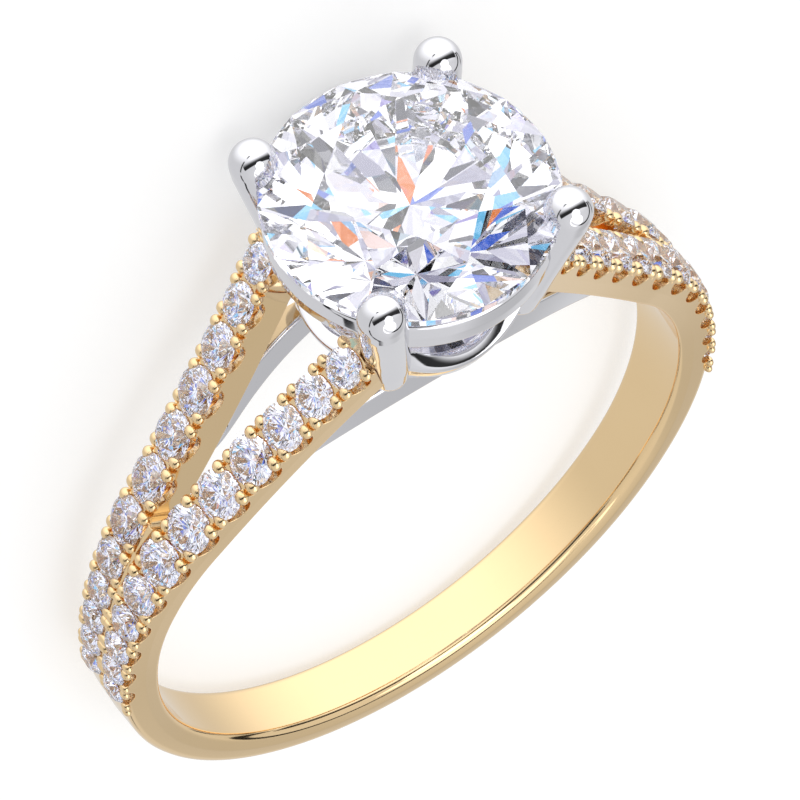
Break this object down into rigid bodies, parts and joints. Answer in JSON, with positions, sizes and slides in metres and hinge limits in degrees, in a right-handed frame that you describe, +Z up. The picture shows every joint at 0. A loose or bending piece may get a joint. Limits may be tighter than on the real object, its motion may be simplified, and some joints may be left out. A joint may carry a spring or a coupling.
{
  "type": "split shank ring",
  "caption": "Finger ring with a round faceted stone in a four-claw head, carried by a shank that splits into stone-set arms on both sides.",
  "frame": {"origin": "middle of the finger hole, on its axis, halfway across the band", "axes": "the ring lies on its side as it rests: +Z up, the centre stone faces -Y, the shoulders lie along X; the finger hole's axis leans from +Z towards +Y by the resting tilt of about 7 degrees"},
  "size_m": [0.0194, 0.0246, 0.0075],
  "materials": {
    "yellow_gold": "polished yellow gold",
    "white_gold": "polished white gold",
    "centre_gem": "clear faceted gemstone",
    "small_gems": "clear faceted gemstones"
  },
  "bodies": {
    "root": {"shank": "yellow_gold", "head": "white_gold", "centre_stone": "centre_gem", "left_stones": "small_gems", "right_stones": "small_gems"}
  },
  "joints": []
}
